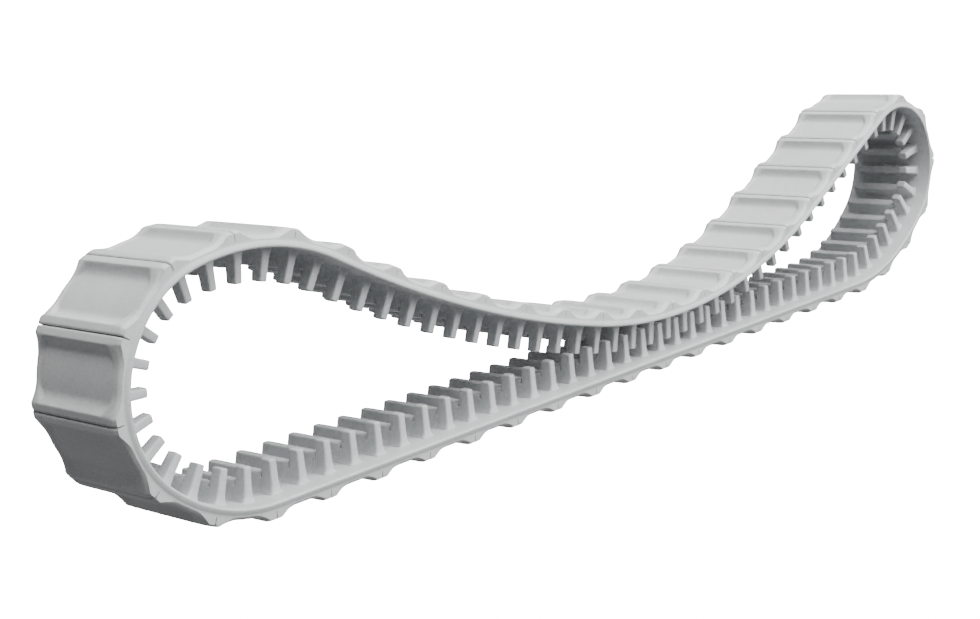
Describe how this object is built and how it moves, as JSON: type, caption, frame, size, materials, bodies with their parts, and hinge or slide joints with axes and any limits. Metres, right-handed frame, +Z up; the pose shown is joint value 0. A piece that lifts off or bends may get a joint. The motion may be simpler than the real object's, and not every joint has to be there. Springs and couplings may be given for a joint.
{
  "type": "endless rubber track belt",
  "caption": "Endless moulded rubber track belt lying loose, with cross lugs outside and guide teeth with drive bars inside.",
  "frame": {"origin": "on the floor under the middle of the lying belt, halfway across its width", "axes": "+X along the floor run towards the lobe with the tight bight, +Y across the belt towards the side edge away from the tall guide teeth, +Z up"},
  "size_m": [0.4755, 0.04, 0.0864],
  "materials": {
    "carcass_rubber": "satin moulded rubber",
    "tread_rubber": "satin moulded rubber",
    "tooth_rubber": "satin moulded rubber",
    "cord": "matt twisted cord"
  },
  "bodies": {
    "stretch_00": {"carcass_00": "carcass_rubber", "cords_00": "cord", "tread_00": "tread_rubber", "teeth_00": "tooth_rubber"},
    "stretch_01": {"carcass_01": "carcass_rubber", "cords_01": "cord", "tread_01": "tread_rubber", "teeth_01": "tooth_rubber"},
    "stretch_02": {"carcass_02": "carcass_rubber", "cords_02": "cord", "tread_02": "tread_rubber", "teeth_02": "tooth_rubber"},
    "stretch_03": {"carcass_03": "carcass_rubber", "cords_03": "cord", "tread_03": "tread_rubber", "teeth_03": "tooth_rubber"},
    "stretch_04": {"carcass_04": "carcass_rubber", "cords_04": "cord", "tread_04": "tread_rubber", "teeth_04": "tooth_rubber"},
    "stretch_05": {"carcass_05": "carcass_rubber", "cords_05": "cord", "tread_05": "tread_rubber", "teeth_05": "tooth_rubber"},
    "stretch_06": {"carcass_06": "carcass_rubber", "cords_06": "cord", "tread_06": "tread_rubber", "teeth_06": "tooth_rubber"},
    "stretch_07": {"carcass_07": "carcass_rubber", "cords_07": "cord", "tread_07": "tread_rubber", "teeth_07": "tooth_rubber"},
    "stretch_08": {"carcass_08": "carcass_rubber", "cords_08": "cord", "tread_08": "tread_rubber", "teeth_08": "tooth_rubber"},
    "stretch_09": {"carcass_09": "carcass_rubber", "cords_09": "cord", "tread_09": "tread_rubber", "teeth_09": "tooth_rubber"},
    "stretch_10": {"carcass_10": "carcass_rubber", "cords_10": "cord", "tread_10": "tread_rubber", "teeth_10": "tooth_rubber"},
    "stretch_11": {"carcass_11": "carcass_rubber", "cords_11": "cord", "tread_11": "tread_rubber", "teeth_11": "tooth_rubber"},
    "stretch_12": {"carcass_12": "carcass_rubber", "cords_12": "cord", "tread_12": "tread_rubber", "teeth_12": "tooth_rubber"},
    "stretch_13": {"carcass_13": "carcass_rubber", "cords_13": "cord", "tread_13": "tread_rubber", "teeth_13": "tooth_rubber"}
  },
  "joints": [
    {"name": "bend_15", "type": "hinge", "parent": "stretch_00", "child": "stretch_01", "pos_m": [0.14495, 0, 0.0047], "axis": [0, -1, 0], "range_deg": [0, 5.4]},
    {"name": "bend_18", "type": "hinge", "parent": "stretch_01", "child": "stretch_02", "pos_m": [0.20866, 0, 0.01753], "axis": [0, -1, 0], "range_deg": [-7.15, 0]},
    {"name": "bend_20", "type": "hinge", "parent": "stretch_02", "child": "stretch_03", "pos_m": [0.23303, 0, 0.05126], "axis": [0, -1, 0], "range_deg": [-1.73, 0]},
    {"name": "bend_22", "type": "hinge", "parent": "stretch_03", "child": "stretch_04", "pos_m": [0.20475, 0, 0.07975], "axis": [0, -1, 0], "range_deg": [0, 1.73]},
    {"name": "bend_24", "type": "hinge", "parent": "stretch_04", "child": "stretch_05", "pos_m": [0.16393, 0, 0.06513], "axis": [0, -1, 0], "range_deg": [0, 0.36]},
    {"name": "bend_27", "type": "hinge", "parent": "stretch_05", "child": "stretch_06", "pos_m": [0.1045, 0, 0.03646], "axis": [0, -1, 0], "range_deg": [-0.07, 0]},
    {"name": "bend_30", "type": "hinge", "parent": "stretch_06", "child": "stretch_07", "pos_m": [0.04045, 0, 0.02159], "axis": [0, -1, 0], "range_deg": [-0.15, 0]},
    {"name": "bend_47", "type": "hinge", "parent": "stretch_00", "child": "stretch_13", "pos_m": [-0.18505, 0, 0.00471], "axis": [0, 1, 0], "range_deg": [0, 4.31]},
    {"name": "bend_45", "type": "hinge", "parent": "stretch_13", "child": "stretch_12", "pos_m": [-0.22428, 0, 0.02192], "axis": [0, 1, 0], "range_deg": [-7.42, 0]},
    {"name": "bend_43", "type": "hinge", "parent": "stretch_12", "child": "stretch_11", "pos_m": [-0.22839, 0, 0.06294], "axis": [0, 1, 0], "range_deg": [-1.37, 0]},
    {"name": "bend_41", "type": "hinge", "parent": "stretch_11", "child": "stretch_10", "pos_m": [-0.19094, 0, 0.08171], "axis": [0, 1, 0], "range_deg": [0, 1.28]},
    {"name": "bend_39", "type": "hinge", "parent": "stretch_10", "child": "stretch_09", "pos_m": [-0.14892, 0, 0.07072], "axis": [0, 1, 0], "range_deg": [0, 0.41]},
    {"name": "bend_36", "type": "hinge", "parent": "stretch_09", "child": "stretch_08", "pos_m": [-0.08853, 0, 0.04421], "axis": [0, 1, 0], "range_deg": [0, 1.11]}
  ],
  "couplings": [
    {"joint": "bend_18", "follows": "bend_15", "ratio": -1.3143},
    {"joint": "bend_20", "follows": "bend_15", "ratio": -0.31109},
    {"joint": "bend_22", "follows": "bend_15", "ratio": 0.31114},
    {"joint": "bend_24", "follows": "bend_15", "ratio": 0.057743},
    {"joint": "bend_27", "follows": "bend_15", "ratio": -0.002836},
    {"joint": "bend_30", "follows": "bend_15", "ratio": -0.019396},
    {"joint": "bend_47", "follows": "bend_15", "ratio": 0.78904},
    {"joint": "bend_45", "follows": "bend_15", "ratio": -1.3654},
    {"joint": "bend_43", "follows": "bend_15", "ratio": -0.24397},
    {"joint": "bend_41", "follows": "bend_15", "ratio": 0.22784},
    {"joint": "bend_39", "follows": "bend_15", "ratio": 0.067492},
    {"joint": "bend_36", "follows": "bend_15", "ratio": 0.19657}
  ]
}
